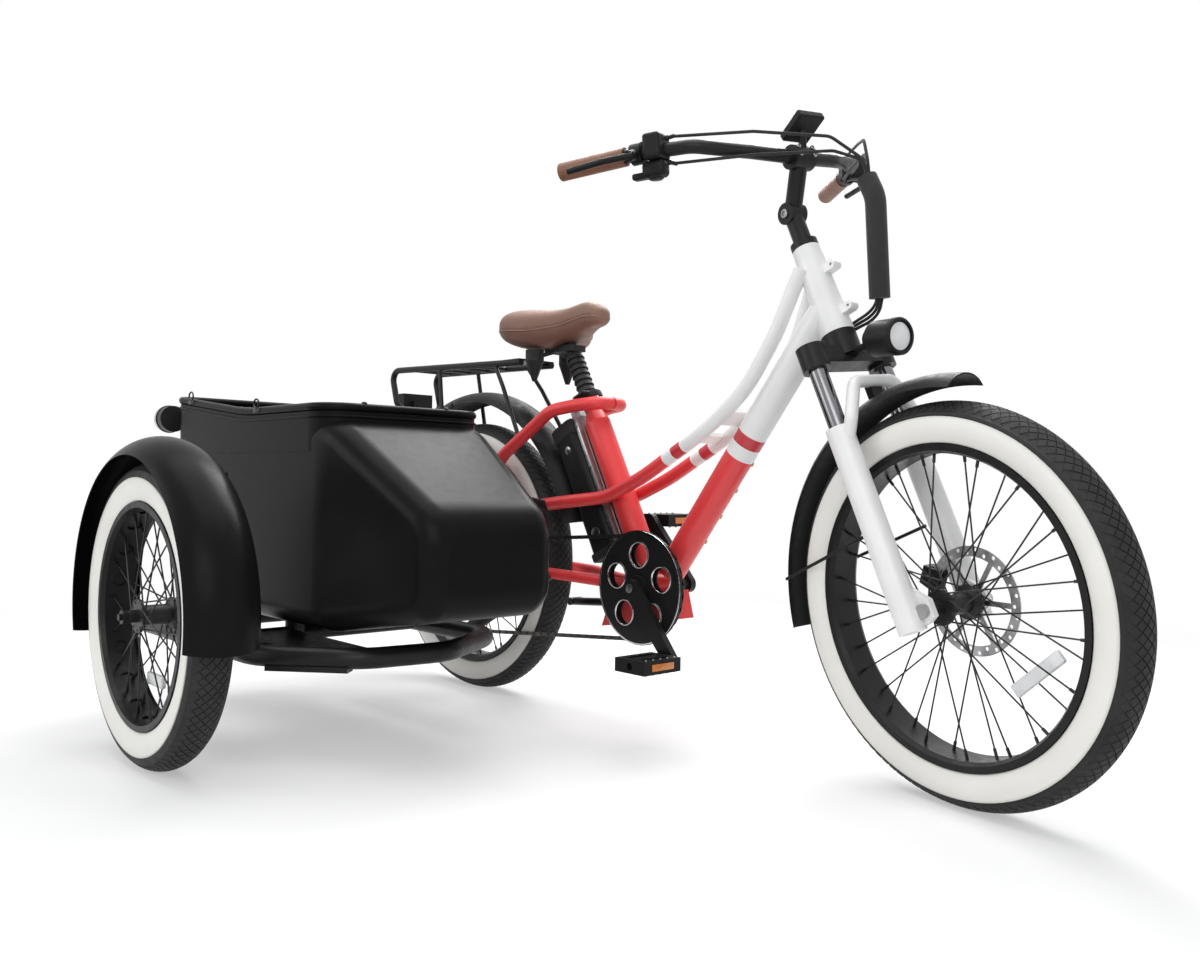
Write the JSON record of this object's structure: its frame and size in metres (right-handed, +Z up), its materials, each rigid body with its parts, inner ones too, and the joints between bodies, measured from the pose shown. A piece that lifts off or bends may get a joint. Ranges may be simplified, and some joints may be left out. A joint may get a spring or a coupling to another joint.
{
  "type": "electric bicycle with sidecar",
  "caption": "Step-through electric bicycle with a hollow single-seat sidecar on the right, wire wheels with white walls, a sprung fork, a rack and a rear battery.",
  "frame": {"origin": "on the road below the middle of the outline, seen from above", "axes": "+X forward along the bicycle, +Y to the rider's left, +Z up; the sidecar is on -Y"},
  "size_m": [2.0034, 1.3278, 1.1859],
  "materials": {
    "tyre": "matt black rubber",
    "whitewall": "warm off-white rubber",
    "rim": "satin black",
    "hub": "satin black",
    "steel": "bare steel",
    "frame_white": "gloss white paint",
    "frame_red": "gloss red paint",
    "bare_alloy": "satin alloy",
    "black_plastic": "matt black",
    "black_rubber": "matt black",
    "black_fabric": "black neoprene",
    "brown_hide": "brown synthetic hide",
    "black_metal": "satin black paint",
    "chrome": "bright",
    "tub_black": "satin gloss black paint",
    "seat_cloth": "dark cloth",
    "lamp_red": "red lens in a black case"
  },
  "bodies": {
    "frame": {"head_tube": "frame_white", "down_tube": "frame_white", "twin_tubes": "frame_white", "seat_tube": "frame_red", "crank_housing": "frame_red", "seat_hoop": "frame_red", "chain_stays": "frame_red", "battery_rail": "bare_alloy", "battery": "black_plastic", "seat_post": "black_rubber", "saddle": "brown_hide", "rear_axle": "steel", "chain": "steel", "derailleur": "steel", "rear_mudguard": "black_plastic", "rear_rack": "black_metal", "tail_lamp": "black_plastic", "rear_caliper": "black_metal", "sidecar_tub": "tub_black", "tub_rim": "tub_black", "sidecar_seat": "seat_cloth", "sidecar_lamp": "lamp_red", "sidecar_chassis": "black_metal", "sidecar_mudguard": "tub_black", "sidecar_struts": "black_metal", "frame_cables": "black_rubber"},
    "steering": {"fork_crown": "black_metal", "fork_stanchions": "chrome", "fork_lowers": "frame_white", "front_axle": "steel", "front_mudguard": "black_plastic", "stem": "black_metal", "handlebar": "black_metal", "grips": "brown_hide", "hand_controls": "black_plastic", "headlamp": "black_plastic", "front_caliper": "black_metal", "cable_sleeve": "black_fabric"},
    "front_wheel": {"front_tyre": "tyre", "front_whitewalls": "whitewall", "front_rim": "rim", "front_hub": "hub", "front_disc": "steel"},
    "rear_wheel": {"rear_tyre": "tyre", "rear_whitewalls": "whitewall", "rear_rim": "rim", "rear_hub": "hub", "rear_disc": "steel", "freewheel": "steel"},
    "sidecar_wheel": {"sidecar_tyre": "tyre", "sidecar_whitewalls": "whitewall", "sidecar_rim": "rim", "sidecar_hub": "hub"},
    "crank": {"crank_arms": "black_metal", "chainring": "black_metal"},
    "right_pedal": {"pedal_right": "black_plastic"},
    "left_pedal": {"pedal_left": "black_plastic"},
    "stand": {"kickstand": "black_metal"}
  },
  "joints": [
    {"name": "steering", "type": "hinge", "parent": "frame", "child": "steering", "pos_m": [0.65479, 0.28311, 0.3138], "axis": [-0.4067, 0, 0.9135], "range_deg": [-27.35, 52.65], "deforming": ["frame_cables"]},
    {"name": "front_wheel_spin", "type": "hinge", "parent": "steering", "child": "front_wheel", "pos_m": [0.68153, 0.27654, 0.3257], "axis": [0.2001, 0.9757, 0.0891], "continuous": true},
    {"name": "rear_wheel_spin", "type": "hinge", "parent": "frame", "child": "rear_wheel", "pos_m": [-0.5978, 0.28311, 0.326], "axis": [0, 1, 0], "continuous": true},
    {"name": "sidecar_wheel_spin", "type": "hinge", "parent": "frame", "child": "sidecar_wheel", "pos_m": [-0.3468, -0.60189, 0.268], "axis": [0, 1, 0], "continuous": true},
    {"name": "crank_spin", "type": "hinge", "parent": "frame", "child": "crank", "pos_m": [0.0242, 0.28311, 0.3], "axis": [0, 1, 0], "continuous": true},
    {"name": "right_pedal_spin", "type": "hinge", "parent": "crank", "child": "right_pedal", "pos_m": [0.13347, 0.18711, 0.16977], "axis": [0, 1, 0], "continuous": true},
    {"name": "left_pedal_spin", "type": "hinge", "parent": "crank", "child": "left_pedal", "pos_m": [-0.08508, 0.37911, 0.43023], "axis": [0, 1, 0], "continuous": true},
    {"name": "stand_fold", "type": "hinge", "parent": "frame", "child": "stand", "pos_m": [-0.0858, 0.34111, 0.25], "axis": [0, -1, 0], "range_deg": [0, 78]}
  ]
}
